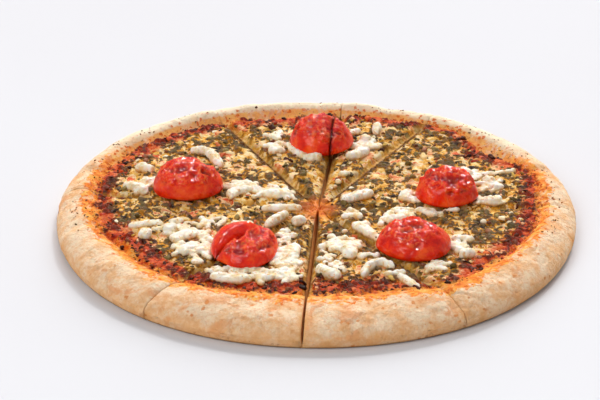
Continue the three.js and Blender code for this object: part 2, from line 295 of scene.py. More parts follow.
class Look:
    """A material made of nodes: each method adds some and returns what they give.

    Colours are named by their 0 to 255 screen values, and sizes are in millimetres.
    """

    def __init__(self, name, **settings):
        self.material = bpy.data.materials.new(name)
        self.material.use_nodes = True
        self.nodes = self.material.node_tree.nodes
        self.links = self.material.node_tree.links
        self.shader = self.nodes["Principled BSDF"]
        for socket, value in settings.items():
            self.shader.inputs[socket.replace("_", " ")].default_value = value
        self.place = self.nodes.new("ShaderNodeTexCoord").outputs["Object"]

    def feed(self, socket, value):
        if isinstance(value, bpy.types.NodeSocket):
            self.links.new(value, socket)
        elif isinstance(value, tuple):
            socket.default_value = srgb(*value)
        else:
            socket.default_value = value

    def add(self, kind, *values, settings=None, **named):
        """A new node: values go to its inputs in order, and named ones to the inputs of that name."""
        node = self.nodes.new(f"ShaderNode{kind}")
        for setting, value in (settings or {}).items():
            setattr(node, setting, value)
        for socket, value in zip(node.inputs, values):
            self.feed(socket, value)
        for name, value in named.items():
            self.feed(node.inputs[name.replace("_", " ")], value)
        return node

    def mask(self, name):
        """The number that each point of the mesh has in a mask."""
        return self.add("Attribute", settings={"attribute_name": name}).outputs["Fac"]

    def noise(self, size, detail=2.0, rough=0.5, warp=0.0):
        """Noise from 0 to 1, around 0.5, with spots of about the given size."""
        scale = 1 / (size * MM)
        node = self.add(
            "TexNoise", Vector=self.place, Scale=scale, Detail=detail, Roughness=rough, Distortion=warp
        )
        return node.outputs["Fac"]

    def cells(self, size, warp):
        """How far the nearest of many scattered centres is, as a part of the size of their cells."""
        node = self.add("TexVoronoi", Vector=self.warped(warp, size), Scale=1 / (size * MM))
        return node.outputs["Distance"]

    def warped(self, amount, size):
        """The place, pushed about by noise so that cells lose their straight sides."""
        shift = self.add("TexNoise", Vector=self.place, Scale=1.5 / (size * MM)).outputs["Color"]
        scaled = self.add("VectorMath", shift, settings={"operation": "SCALE"}, Scale=amount * size * MM)
        return self.add("VectorMath", self.place, scaled.outputs["Vector"]).outputs["Vector"]

    def math(self, operation, a, b):
        return self.add("Math", a, b, settings={"operation": operation}).outputs["Value"]

    def plus(self, a, b):
        return self.math("ADD", a, b)

    def minus(self, a, b):
        return self.math("SUBTRACT", a, b)

    def times(self, a, b):
        return self.math("MULTIPLY", a, b)

    def step(self, value, low, high, to_low=0.0, to_high=1.0):
        """Goes smoothly from to_low to to_high as the value goes from low to high."""
        node = self.add(
            "MapRange", value, low, high, to_low, to_high, settings={"interpolation_type": "SMOOTHSTEP"}
        )
        return node.outputs["Result"]

    def ramp(self, value, stops):
        """Colours along a value from 0 to 1: each stop is a place on the way and a colour."""
        node = self.add("ValToRGB", value)
        elements = node.color_ramp.elements
        while len(elements) < len(stops):
            elements.new(0.5)
        for element, (place, colour) in zip(elements, stops):
            element.position = place
            element.color = srgb(*colour)
        return node.outputs["Color"]

    def mix(self, part, a, b):
        """One colour where the part is 0, another where it is 1."""
        node = self.add("Mix", part, settings={"data_type": "RGBA"})
        self.feed(node.inputs[MIX_A], a)
        self.feed(node.inputs[MIX_B], b)
        return node.outputs[MIX_RESULT]

    def cover(self, base, *layers):
        """The base with colours laid over it in turn: each layer is the part it covers and its colour."""
        for part, colour in layers:
            base = self.mix(part, base, colour)
        return base

    def bump(self, height, depth, **below):
        """Fine relief of the given depth, on top of another relief if one is given as Normal."""
        return self.add("Bump", Height=height, Distance=depth * MM, **below).outputs["Normal"]

    def finish(self, **inputs):
        """The material, with what its shader takes from the nodes."""
        for name, value in inputs.items():
            self.links.new(value, self.shader.inputs[name.replace("_", " ")])
        return self.material


def soft(radius, weight):
    """Settings for light that goes a little way into food, red the furthest."""
    return {
        "Subsurface_Weight": weight,
        "Subsurface_Radius": (1.0, 0.45, 0.25),
        "Subsurface_Scale": radius * MM,
    }


def ragged_part(look):
    """How far in a place lies, as a part of the way to the sauce, with uneven bays and tongues."""
    broad = look.times(look.noise(8, 4, 0.7, 0.8), 0.8)
    fine = look.times(look.noise(2.5, 3, 0.65), 0.4)
    return look.minus(look.plus(look.mask("sauce"), look.plus(broad, fine)), 0.6)


def stain_colours(look):
    """Orange oil from the sauce, soaked into the dough."""
    stops = [(0.32, (214, 84, 10)), (0.43, (244, 126, 26)), (0.53, (253, 162, 56)), (0.66, (254, 196, 104))]
    return look.ramp(look.noise(5, 5, 0.7, 0.4), stops)


def sauce_colours(look):
    """Thin baked tomato sauce at the foot of the rim."""
    stops = [(0.34, (104, 18, 0)), (0.45, (160, 36, 0)), (0.55, (206, 70, 10)), (0.67, (232, 122, 50))]
    return look.ramp(look.noise(3.6, 5, 0.7, 0.4), stops)


def bare_dough(look):
    """Pale baked dough: blotched and mottled, darker low down, with singed spots."""
    base = look.ramp(
        look.noise(12, 5, 0.7), [(0.34, (238, 178, 122)), (0.46, (248, 202, 156)), (0.58, (253, 224, 190))]
    )
    peach = look.step(look.noise(19, 4, 0.65, 0.6), 0.53, 0.64, 0, 0.75)
    mottle = look.step(look.noise(1.8, 4, 0.7), 0.48, 0.66, 0, 0.45)
    low = look.step(look.mask("height"), 2.0, 13.0, 0.5, 0)
    foot = look.step(look.mask("height"), 0.5, 6.0, 1, 0)
    singed = look.step(look.noise(3.5, 3, 0.6, 0.5), 0.6, 0.7, 0, 0.7)
    spots = look.step(look.cells(6.0, 0.8), 0.14, 0.26, 0.8, 0)
    sparse = look.step(look.noise(10), 0.5, 0.58)
    return look.cover(
        base,
        (peach, (238, 162, 106)),
        (mottle, (234, 170, 118)),
        (low, (240, 176, 106)),
        (look.times(singed, foot), (160, 92, 44)),
        (look.times(spots, sparse), (222, 136, 66)),
    )


def sauce_on_dough(look, base):
    """The dough with oil stains, drops and sauce towards the middle, and painted light at the back: a paler
    crest and brighter stains.
    """
    ragged = ragged_part(look)
    # painted light: the crest at the back is painted paler, as if lit from above
    lit_crest = look.times(look.mask("back"), look.step(look.mask("height"), 12.8, 14.2))
    bare = look.step(look.noise(7, 4, 0.65, 0.5), 0.54, 0.6, 0.93, 0.35)
    stained = look.times(look.step(ragged, 0.62, 0.7), bare)
    # painted light: the stains at the back are painted brighter, as if the inner slope there were lit
    golden = look.mix(look.times(look.mask("back"), 0.6), stain_colours(look), (255, 202, 120))
    drops = look.times(look.step(look.cells(3.6, 0.9), 0.24, 0.36, 0.9, 0), look.step(ragged, 0.48, 0.74))
    return look.cover(
        base,
        (look.times(lit_crest, 0.85), (255, 238, 208)),
        (look.times(stained, look.step(lit_crest, 0, 1, 1, 0.25)), golden),
        (drops, (226, 108, 28)),
        (look.step(ragged, 0.92, 1.02, 0, 0.95), sauce_colours(look)),
    )


def crust_material():
    look = Look("baked_dough", Roughness=0.75, Specular_IOR_Level=0.12, **soft(2.0, 0.1))
    under = look.ramp(
        look.noise(9, 4, 0.65), [(0.35, (236, 202, 160)), (0.55, (212, 160, 106)), (0.7, (148, 90, 48))]
    )
    base = look.cover(
        sauce_on_dough(look, bare_dough(look)),
        # partly the browned underside edge and partly painted shade: the lowest 2 mm are darkened as a
        # contact shadow on the floor
        (look.step(look.mask("height"), 0.2, 2.0, 0.9, 0), (96, 50, 20)),
        (look.mask("wall"), (240, 182, 116)),
        (look.mask("cut"), (240, 178, 104)),
        (look.mask("under"), under),
    )
    grain = look.bump(look.noise(1.0, 4, 0.65), 0.5)
    wrinkled = look.bump(look.noise(4.0, 4, 0.6, 1.4), 1.3, Normal=grain)
    return look.finish(Base_Color=base, Normal=wrinkled)


# What lies on top, by its tone from dark to light: chunks of pesto, oil, melted cheese and specks of sauce.
PESTO_COLOURS = [
    (0.0, (44, 20, 4)), (0.08, (78, 54, 20)), (0.16, (100, 82, 36)), (0.23, (128, 106, 66)),
    (0.3, (116, 62, 36)), (0.37, (148, 112, 26)), (0.46, (204, 122, 14)), (0.54, (238, 166, 42)),
    (0.62, (252, 206, 112)), (0.74, (255, 238, 194)), (0.86, (254, 188, 126)), (0.98, (230, 90, 34)),
]
SAUCE_COLOURS = [
    (0.04, (62, 14, 0)), (0.2, (112, 40, 4)), (0.4, (146, 28, 0)), (0.54, (196, 46, 0)),
    (0.68, (212, 66, 0)), (0.82, (234, 112, 34)), (0.96, (190, 40, 0)),
]


def topping_material():
    look = Look("melted_cheese_and_pesto", Roughness=0.3, Specular_IOR_Level=0.13)
    fine = look.times(look.minus(look.noise(1.3, 4, 0.7), 0.5), 0.5)
    patchy = look.times(look.minus(look.noise(4.5), 0.5), 0.5)
    tone = look.plus(look.mask("tone"), look.plus(fine, patchy))
    ragged = ragged_part(look)
    bare = look.step(look.noise(7, 4, 0.65, 0.5), 0.5, 0.6, 0.95, 0.8)
    middle = look.mix(look.noise(3, 3), (240, 70, 4), (255, 164, 60))
    golden = look.ramp(
        look.noise(4, 4, 0.65), [(0.36, (186, 106, 14)), (0.5, (234, 168, 54)), (0.62, (252, 212, 126))]
    )
    base = look.cover(
        look.ramp(tone, PESTO_COLOURS),
        (look.step(ragged, 1.28, 1.6, 0.96, 0), look.ramp(tone, SAUCE_COLOURS)),
        (look.times(look.step(ragged, 0.96, 1.08, 1, 0), bare), stain_colours(look)),
        (look.step(look.mask("out"), 3, 14, 0.8, 0), middle),
        (look.times(look.mask("groove"), 0.66), golden),
        # painted shade: a dark brown line along each cut, where the gap's shade falls
        (look.times(look.mask("edge"), 0.8), (100, 44, 4)),
    )
    return look.finish(Base_Color=base, Normal=look.bump(look.noise(1.1, 4, 0.65), 0.8))


def white_cheese_material():
    look = Look("soft_white_cheese", Roughness=0.36, Specular_IOR_Level=0.25, **soft(2.0, 0.2))
    base = look.ramp(
        look.noise(5, 4, 0.6), [(0.35, (238, 212, 158)), (0.46, (248, 236, 206)), (0.58, (252, 248, 236))]
    )
    # painted shade: the cheese is painted a warm yellow low down, where shade falls under it
    low = look.step(look.mask("height"), 12.6, 14.8, 0.85, 0)
    stains = look.step(look.noise(3.0, 4, 0.65, 0.5), 0.55, 0.66, 0, 0.75)
    specks = look.step(look.cells(2.8, 0.7), 0.14, 0.24, 0.75, 0)
    sparse = look.step(look.noise(7), 0.52, 0.6)
    base = look.cover(
        base,
        (low, (222, 170, 84)),
        (stains, (228, 166, 84)),
        (look.times(specks, sparse), (176, 132, 56)),
    )
    return look.finish(Base_Color=base, Normal=look.bump(look.noise(2.2, 4, 0.6), 0.5))


def tomato_material():
    look = Look("baked_tomato", Specular_IOR_Level=0.4)
    skin = look.ramp(
        look.noise(9, 4, 0.6), [(0.33, (206, 16, 0)), (0.5, (240, 44, 2)), (0.66, (253, 92, 26))]
    )
    flesh = look.ramp(
        look.noise(2.6, 4, 0.65, 0.8), [(0.36, (206, 12, 0)), (0.48, (244, 42, 2)), (0.62, (255, 120, 54))]
    )
    base = look.cover(
        skin,
        (look.times(look.mask("flesh"), 0.9), flesh),
        # painted shade: darker red in the recesses of the wrinkles
        (look.times(look.mask("wrinkle_shade"), 0.7), (136, 8, 0)),
        # painted light: the skin is painted a lighter orange low down, for light thrown up from the floor and
        # the topping
        (look.step(look.mask("height"), 12.5, 16.0, 0.6, 0), (214, 70, 22)),
        # painted shade: dark red along the knife cut through a tomato
        (look.mask("knife_cut_shade"), (120, 14, 2)),
    )
    roughness = look.step(look.mask("flesh"), 0.2, 0.9, 0.12, 0.08)
    folds = look.bump(look.noise(4.5, 1.5, 0.5, 1.5), 0.6)
    return look.finish(Base_Color=base, Normal=folds, Roughness=roughness)


def crumb_material(name, colours, roughness):
    """Small baked bits: each one has a tone of its own, and lighter and darker patches."""
    look = Look(name, Roughness=roughness, Specular_IOR_Level=0.15)
    tone = look.plus(look.mask("tone"), look.times(look.noise(1.2, 3, 0.6), 0.6))
    base = look.ramp(look.minus(tone, 0.3), list(zip((0.05, 0.5, 0.95), colours)))
    return look.finish(Base_Color=base, Normal=look.bump(look.noise(0.8, 3, 0.6), 0.4))


# ---- The pizza's plan ----

OUTLINE_WAVES = 5
RIM_ONLY = 120.0  # what lies further out than this is on the rim


def flat_points(spots):
    """Places seen from above, as points at no height."""
    return np.column_stack([spots, np.zeros(len(spots))])


def outline_terms(angles):
    """A constant and the waves of an outline, for each angle."""
    counts = np.arange(1, OUTLINE_WAVES + 1)
    turns = np.outer(angles, counts)
    return np.concatenate([np.ones((len(angles), 1)), np.cos(turns), np.sin(turns)], axis=1)


def fitted_outline():
    """Waves that follow the rim's widest line all round the pizza."""
    points = np.concatenate([node_mesh(f"slice{number}_crust")[0] for number in SLICES])
    widest = np.abs(points[:, 2] - WIDEST_Z) < 0.05
    outside = np.hypot(points[:, 0], points[:, 1]) > RIM_ONLY
    rim = points[widest & outside]
    angles = np.arctan2(rim[:, 1], rim[:, 0])
    return np.linalg.lstsq(outline_terms(angles), np.hypot(rim[:, 0], rim[:, 1]), rcond=None)[0]


OUTLINE = fitted_outline()


def outline_radius(angles):
    """How far from the origin the smooth dough reaches."""
    return outline_terms(angles) @ OUTLINE - SKIN_INSET


def sauce_edge(angles):
    """How far in from the edge the sauce begins."""
    back = np.sin(angles)
    return SAUCE_EDGE - SAUCE_SHIFT * back + SAUCE_FRONT * np.maximum(0, -back) ** 3


def stain_edge(angles):
    """How far in from the edge the sauce begins, with its bays."""
    bays = sum(depth * fading(degrees_from(angles, angle), width) for angle, depth, width in SAUCE_BAYS)
    return sauce_edge(angles) + bays


def sideways(turn):
    """The level direction square to a cut, anticlockwise."""
    return np.array([-math.sin(turn), math.cos(turn), 0])


class Plan:
    """One slice seen from above. A place in it is a turn, the angle at its tip, and a distance out."""

    def __init__(self, number):
        points = node_mesh(f"slice{number}_crust")[0]
        flat = points[:, :2]
        self.number = number
        self.tip = flat[np.argmin(np.hypot(flat[:, 0], flat[:, 1]))]
        away = flat - self.tip
        away = away[np.hypot(away[:, 0], away[:, 1]) > 20]  # the tip itself has no clear direction
        middle = math.atan2(away[:, 1].mean(), away[:, 0].mean())
        turns = np.angle(np.exp(1j * (np.arctan2(away[:, 1], away[:, 0]) - middle)))
        self.first = middle + turns.min()
        self.last = middle + turns.max()
        self.cuts = (CUTS[number - 1], CUTS[number % len(CUTS)])
        self.grooves = (self.cuts[0].after, self.cuts[1].before)

    def spot(self, turns, out):
        """Places seen from above."""
        return np.stack([self.tip[0] + out * np.cos(turns), self.tip[1] + out * np.sin(turns)], axis=1)

    def reach(self, turns):
        """How far out the slice's edge lies, found in a few steps from a first guess."""
        reach = np.full(len(turns), LONGEST - 1)
        for _ in range(6):
            x, y = self.spot(turns, reach).T
            reach += outline_radius(np.arctan2(y, x)) - np.hypot(x, y)
        return reach

    def locate(self, spots):
        """The turns and distances out of places seen from above."""
        away = spots[:, :2] - self.tip
        middle = (self.first + self.last) / 2
        turns = middle + np.angle(np.exp(1j * (np.arctan2(away[:, 1], away[:, 0]) - middle)))
        return turns, np.hypot(away[:, 0], away[:, 1])

    def part(self, turns, out):
        """How far in a place lies, as a part of the way to the sauce's edge."""
        return (self.reach(turns) - out) / sauce_edge(turns)

    def sauce_part(self, turns, out):
        """The same, to where the sauce itself begins."""
        return (self.reach(turns) - out) / stain_edge(turns)

    def from_cuts(self, turns, out):
        """How far places are from the slice's first and last wall."""
        return out * np.sin(turns - self.first), out * np.sin(self.last - turns)

    def dragged(self, turns, out, depths, reach):
        """How far the knife dragged the surface down beside the two cuts."""
        away = self.from_cuts(turns, out)
        return np.maximum(*[depth * fading(side, reach) for depth, side in zip(depths, away)])

    def groove(self, turns, out):
        """How far the topping is dragged down, which is less at the tip and at the rim."""
        ends = smoothstep(out, 4, 25) * smoothstep(self.part(turns, out), 0.95, 1.6)
        return self.dragged(turns, out, self.grooves, GROOVE_REACH) * lerp(0.4, 1.0, ends)

    def slope(self, turns, out):
        """1 on the slopes beside the two cuts, which are as wide as the knife dragged them deep."""
        uneven = 1 + 0.4 * noise(flat_points(self.spot(turns, out)), 6, 41)
        sides = [
            smoothstep(0.75 * depth * uneven - away, -0.6, 0.5) * smoothstep(depth, 0.9, 2.0)
            for depth, away in zip(self.grooves, self.from_cuts(turns, out))
        ]
        return np.maximum(*sides) * smoothstep(out, 9, 28)

    def closed_up(self, points):
        """The same points, with the walls of both cuts moved together at the rim and below the topping."""
        turns, out = self.locate(points)
        on_rim = smoothstep(-self.part(turns, out), -1.7, -0.95)
        low = smoothstep(-points[:, 2], -8, -3)
        away = self.from_cuts(turns, out)
        for cut, distance, turn, side in zip(self.cuts, away, (self.first, self.last), (-1, 1)):
            closed = np.maximum(lerp(cut.bed_closed, cut.rim_closed, on_rim), low)
            shift = side * closed * (cut.half_gap - TOUCHING) * fading(distance, 3)
            points = points + shift[:, None] * sideways(turn)
        inward = np.array([*(np.array(CROSSING) - self.tip), 0])
        near_tip = fading(out, 7) * lerp(0.75, 0.9, low)
        return points + near_tip[:, None] * inward


PLANS = {number: Plan(number) for number in SLICES}

# ---- Heights ----

# Where the rim is pinched in: angle, depth, and half width in degrees.
RIM_FOLDS = [(21, 2.0, 1.6), (160, 1.6, 1.4), (191, 1.4, 1.6), (-58, 0.9, 2.0), (-128, 0.8, 2.4)]

# Lumps on the baked surface: how wide they are, how tall, and their seed.
CHEESE_LUMPS = [(7.0, 2.2, 97), (4.2, 1.6, 93)]
PESTO_LUMPS = [(4.6, 3.2, 94), (3.3, 2.6, 95), (2.3, 1.8, 96)]


def rim_crest(plan, turns, out):
    """The height of the top of the rim, with its puffs and folds."""
    points = flat_points(plan.spot(turns, out))
    puffs = 0.8 * noise(points, 24, 1) + 0.6 * noise(points, 11, 2)
    folds = sum(depth * fading(degrees_from(turns, angle), width) for angle, depth, width in RIM_FOLDS)
    return RIM_HEIGHT + puffs - folds


def dough_top(plan, turns, out):
    """The height of the dough: up the rim's outer side, over its crest and down to the bed."""
    part = plan.part(turns, out)
    crest = rim_crest(plan, turns, out)
    short = 1 - np.clip(part / RIM_ROUNDING, 0, 1)
    rise = (1 - short**RIM_ROUNDNESS) ** (1 / RIM_ROUNDNESS)
    outer = lerp(WIDEST_Z, crest, rise)
    inner = lerp(crest, BED_Z, smoothstep(part, RIM_CREST_END, RIM_END))
    height = np.where(part < RIM_ROUNDING, outer, inner)
    above = smoothstep(height, BED_Z, RIM_HEIGHT - 2)
    return height - above * plan.dragged(turns, out, [cut.rim_groove for cut in plan.cuts], 1.5)


def dough_bottom(plan, turns, out):
    """The height of the dough's underside: flat, and rounded up to the widest line at the edge."""
    inward = plan.reach(turns) - out
    short = np.clip(1 - inward / FOOT, 0, 1)
    return WIDEST_Z * (1 - np.sqrt(1 - short**2))


def pesto_share(points):
    """How much of the surface is pesto: patchy all over, and more at the front on the left."""
    front = smoothstep(-points[:, 1], -40, 20) * smoothstep(-points[:, 0], -75, -10)
    return 0.36 + 0.1 * front + 0.16 * noise(points, 18, 43) + 0.5 * noise(points, 7.5, 44)


def baked_lumps(points):
    """The baked surface: its height, and the tone of what lies on top, pesto under 0.45 and cheese above."""
    shift = np.column_stack([noise(points, 2.2, 91), noise(points, 2.2, 92), np.zeros(len(points))])
    share = pesto_share(points)
    rich = smoothstep(share, 0.2, 0.7)
    height = np.zeros(len(points))
    tone = 0.5 - 0.12 * rich
    for size, tall, seed in CHEESE_LUMPS:
        away, owned = lumps(points + 0.25 * size * shift, size, seed)
        rise = tall * np.sqrt(domes(away, 0.6)) * (0.2 + 0.8 * owned[:, 1])
        lump_tone = 0.49 + 0.49 * owned[:, 0] * (1 - 0.5 * rich)
        tone = np.where(rise > np.maximum(height, 0.35), lump_tone, tone)
        height = np.maximum(height, rise)
    for size, tall, seed in PESTO_LUMPS:
        away, owned = lumps(points + 0.24 * size * shift, size, seed)
        dome_height = domes(away, 0.54)
        rise = tall * np.sqrt(dome_height) * (0.5 + 0.5 * owned[:, 1]) * (owned[:, 0] < share)
        lump_tone = 0.06 + 0.4 * owned[:, 1] - 0.14 * dome_height
        tone = np.where(rise > np.maximum(height, 0.3), lump_tone, tone)
        height = np.maximum(height, rise)
    return height, tone


def topping_top(plan, turns, out):
    """Below the dough's surface outside the sauce's uneven edge, and above it inside."""
    points = flat_points(plan.spot(turns, out))
    ragged = plan.sauce_part(turns, out) + 0.07 * noise(points, 9, 5) + 0.03 * noise(points, 3, 6)
    cover = smoothstep(ragged, 0.9, 1.05)
    height = baked_lumps(points)[0] * (1 - 0.75 * plan.slope(turns, out))
    dough = dough_top(plan, turns, out)
    level = TOPPING_Z - 0.9 + 0.5 * noise(points, 9, 7) + height - plan.groove(turns, out)
    return lerp(dough - 0.9, np.maximum(level, dough + 0.1 + 0.6 * height), cover)


def topping_bottom(plan, turns, out):
    """The topping goes a little way into the dough, so that no gap shows."""
    return dough_top(plan, turns, out) - 1.2


# ---- Slabs: the closed skins of a slice's layers ----


def zipped(inner, outer):
    """Triangles between two rows of point numbers, which may differ in length."""
    n, m = len(inner) - 1, len(outer) - 1
    middles = (np.arange(m) + 0.5) / max(m, 1)
    near = np.rint(middles * n).astype(int)
    fans = np.stack([inner[near], outer[:-1], outer[1:]], axis=1)
    turning = np.searchsorted(near, np.arange(n), side="right")
    wedges = np.stack([inner[:-1], outer[turning], inner[1:]], axis=1)
    return np.concatenate([fans, wedges])


def row_triangles(counts):
    """Triangles between rows of points that follow each other in one list."""
    ends = np.cumsum([0, *counts])
    rows = [np.arange(start, end) for start, end in zip(ends[:-1], ends[1:])]
    return np.concatenate([zipped(inner, outer) for inner, outer in zip(rows[:-1], rows[1:])])


def slab(plan, stations, top, bottom):
    """One layer of a slice, from its tip to its outer edge.

    A station is a row of points across the slice: its share of the way out to a line that lies the given
    part of the way in to the sauce's edge, and the step between its points.
    """
    shares, parts, steps = np.array(stations).T
    every = np.arange(len(shares))

    def out_at(turns, rows):
        return (plan.reach(turns) - parts[rows] * sauce_edge(turns)) * shares[rows]

    def sheet(height, row_steps):
        lengths = out_at(np.full(len(every), plan.last), every) * (plan.last - plan.first)
        counts = np.where(lengths > 0.01, np.ceil(lengths / row_steps).astype(int) + 1, 1)
        turns = np.concatenate([np.linspace(plan.first, plan.last, count) for count in counts])
        out = out_at(turns, np.repeat(every, counts))
        return np.column_stack([plan.spot(turns, out), height(plan, turns, out)]), row_triangles(counts)

    def wall(turn):
        turns = np.full(len(every), turn)
        out = out_at(turns, every)
        low, high = bottom(plan, turns, out), top(plan, turns, out)
        heights = lerp(low[:, None], high[:, None], WALL_LEVELS)
        levels = len(WALL_LEVELS)
        spots = np.repeat(plan.spot(turns, out), levels, axis=0)
        return np.column_stack([spots, heights.ravel()]), row_triangles(np.full(len(every), levels))

    facing_back = (sheet(bottom, HIDDEN_STEP), wall(plan.last))
    flipped = [(points, triangles[:, ::-1]) for points, triangles in facing_back]
    points, triangles = welded(*joined([sheet(top, steps), wall(plan.first), *flipped]))
    return points, outward(points, triangles)


def crust_stations(plan):
    """From the tip out: wide steps under the topping, then fine ones over the rim."""
    bed = [(share, RIM_END, HIDDEN_STEP) for share in np.linspace(0, 1, 28)[:-1]]
    width = sauce_edge((plan.first + plan.last) / 2)
    parts = RIM_END * (1 - np.linspace(0, 1, round(RIM_END * width / RIM_STEP)))
    brim = parts[-4] * (1 - np.sin(np.linspace(0.12, 1, 9) * math.pi / 2))
    return bed + [(1, part, RIM_STEP) for part in (*parts[:-4], *brim)]


def topping_stations(plan):
    """Fine steps from the tip to the foot of the rim, and on until the dough covers the topping."""
    middle = (plan.first + plan.last) / 2
    inner = plan.reach(np.array([middle]))[0] - RIM_END * sauce_edge(middle)
    bed = [(share, RIM_END, TOPPING_STEP) for share in np.linspace(0, 1, round(inner / TOPPING_STEP))[:-1]]
    width = (RIM_END - TOPPING_FROM) * sauce_edge(middle)
    parts = np.linspace(RIM_END, TOPPING_FROM, round(width / TOPPING_STEP))
    return bed + [(1, part, TOPPING_STEP) for part in parts]


def make_crust(plan, material):
    points, triangles = slab(plan, crust_stations(plan), dough_top, dough_bottom)
    turns, out = plan.locate(points)
    cuts = plan.from_cuts(turns, out)
    facing = normals(points, triangles)
    shown = smoothstep(points[:, 2], 0.3, 3) * smoothstep(np.minimum(*cuts), 0, 1.5)
    relief = 0.34 * rough_noise(points, 7, 21) + 0.2 * noise(points, 2.6, 25)
    veins = fading(noise(points * [1, 1, 1.6], 13, 31), 0.06)
    creases = veins * smoothstep(noise(points, 20, 33), -0.1, 0.2)
    open_walls = [(1 - cut.rim_closed) * fading(away, 1.2) for cut, away in zip(plan.cuts, cuts)]
    walls = smoothstep(-np.minimum(*cuts), -0.5, -0.1) * smoothstep(plan.part(turns, out), 0.9, 1.2)
    masks = {
        "sauce": plan.sauce_part(turns, out),
        "height": points[:, 2],
        # the back of the rim, where painted light makes the crest paler and the stains brighter
        "back": smoothstep(np.sin(turns), 0.3, 0.75),
        "cut": np.maximum(*open_walls),
        "wall": walls,
        "under": smoothstep(-facing[:, 2], 0.6, 0.95),
    }
    points = plan.closed_up(points + facing * (shown * (relief - 0.6 * creases))[:, None])
    piece = add_piece(f"dough_{plan.number}", points, triangles, material, masks)
    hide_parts(f"slice{plan.number}_crust")


def make_topping(plan, material):
    points, triangles = slab(plan, topping_stations(plan), topping_top, topping_bottom)
    turns, out = plan.locate(points)
    from_cut = np.minimum(*plan.from_cuts(turns, out))
    masks = {
        "sauce": plan.sauce_part(turns, out),
        "out": out,
        "groove": plan.slope(turns, out),
        # painted shade along each cut
        "edge": fading(from_cut, 0.8) * smoothstep(out, 6, 22),
        "tone": baked_lumps(flat_points(points[:, :2]))[1],
    }
    piece = add_piece(f"topping_{plan.number}", plan.closed_up(points), triangles, material, masks)
    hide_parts(f"slice{plan.number}_topping")


# ---- Tomatoes and white cheese ----

TOPPING_REST = 13.3  # the height at which the solids of tomato and cheese start

# Baked tomato halves: the slices that each lies on, its middle, its length and width, the height of its top,
# and how its length is turned. Of those that were cut through, also how much lower they are at the cut, and
# how wide they are rounded off there.
Tomato = namedtuple("Tomato", "slices middle long wide top turn pressed rounded", defaults=(0, 1))
TOMATOES = [
    Tomato((1,), (74.6, 10.9), 36.5, 33.0, 30.6, 0),
    Tomato((2, 3), (2.0, 81.5), 37.5, 35.0, 31.6, 0, 0.22, 3.0),
    Tomato((4,), (-74.2, 19.6), 40.5, 35.0, 31.2, 0),
    Tomato((5, 6), (-39.0, -57.5), 49.0, 38.0, 26.4, 90, 0.92, 7.0),
    Tomato((8,), (54.0, -54.4), 40.5, 36.0, 29.8, -6),
]
TOMATO_WIDEST_Z = 15.5
TOMATO_UNDER = 5.0  # how far it goes on below that
SMOOTH_SKINNED = 5  # the slice whose piece of tomato shows skin, where the others show wrinkled flesh


def axes(angle):
    """The directions along and across something that is turned by an angle, seen from above."""
    along = np.array([math.cos(angle), math.sin(angle)])
    return along, np.array([-along[1], along[0]])


def dome(tomato):
    """A tomato half as (points, triangles), with how far up it each point lies, from 0 to 1."""
    unit, triangles = sphere_mesh(6)
    unit[:, :2] *= (1 + 0.06 * noise(unit * [1, 1, 0.4], 0.9, round(tomato.top * 10)))[:, None]
    rise = np.where(unit[:, 2] > 0, tomato.top - TOMATO_WIDEST_Z, TOMATO_UNDER)
    along, across = axes(math.radians(tomato.turn))
    spots = unit[:, :1] * along * tomato.long / 2 + unit[:, 1:2] * across * tomato.wide / 2
    points = np.column_stack([spots + tomato.middle, TOMATO_WIDEST_Z + unit[:, 2] * rise])
    return points, triangles, np.clip(unit[:, 2], 0, 1)


def halved(tomato, plan, side, points):
    """The part of a tomato on one side of a cut, and each point's distance from the middle of that cut."""
    turns, out = plan.locate(points)
    turn = (plan.first, plan.last)[side]
    distance = plan.from_cuts(turns, out)[side] + plan.cuts[side].half_gap
    shift = (-1, 1)[side] * np.minimum(distance - TOUCHING, 0)
    points = points + shift[:, None] * sideways(turn)
    distance = np.maximum(distance, TOUCHING)
    short = 1 - np.clip(distance / tomato.rounded, 0, 1)
    lower = tomato.pressed * (1 - np.sqrt(1 - short**2)) * np.maximum(points[:, 2] - TOPPING_REST, 0)
    return points - lower[:, None] * np.array([0, 0, 1]), distance


def make_tomato(tomato, number, material):
    """One slice's piece of a tomato half, with smooth skin low down and wrinkled flesh on top."""
    points, triangles, up = dome(tomato)
    facing = normals(points, triangles)
    flesh = smoothstep(up + 0.22 * noise(points, 8, 50), 0.42, 0.7)
    if number == SMOOTH_SKINNED:
        flesh *= 0.2
    folds = 1 - 2 * np.abs(noise(points * [1, 1.5, 1], 7, 51 + number))
    fine_folds = 1 - 2 * np.abs(noise(points * [1, 1.3, 1], 3.6, 54))
    wrinkles = flesh * (1.8 * folds + 1.0 * fine_folds - 1.2)
    relief = 0.9 * noise(points, 13, 52) + wrinkles - 0.4
    points = points + facing * (relief * smoothstep(up, -0.1, 0.3))[:, None]
    # painted shade along the knife cut, where a tomato was cut through
    knife_cut_shade = np.zeros(len(points))
    if len(tomato.slices) == 2:
        side = 1 - tomato.slices.index(number)
        points, distance = halved(tomato, PLANS[number], side, points)
        knife_cut_shade = fading(distance, 0.8)
    points, triangles, kept = compact(points, triangles)
    # painted shade, deepest in the recesses of the wrinkles
    wrinkle_shade = smoothstep(-wrinkles, 0, 1.4)
    masks = {"flesh": flesh[kept], "wrinkle_shade": wrinkle_shade[kept], "height": points[:, 2], "knife_cut_shade": knife_cut_shade[kept]}
    piece = add_piece(f"tomato_{number}", points, triangles, material, masks)
    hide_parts(f"slice{number}_tomato")
    return piece


def compact(points, triangles):
    """Without the triangles that were pressed flat, and the points that only they used."""
    a, b, c = corners(points, triangles)
    area = np.linalg.norm(np.cross(b - a, c - a), axis=1)
    triangles = triangles[area > 1e-7]
    kept, numbers = np.unique(triangles, return_inverse=True)
    return points[kept], numbers.reshape(-1, 3), kept


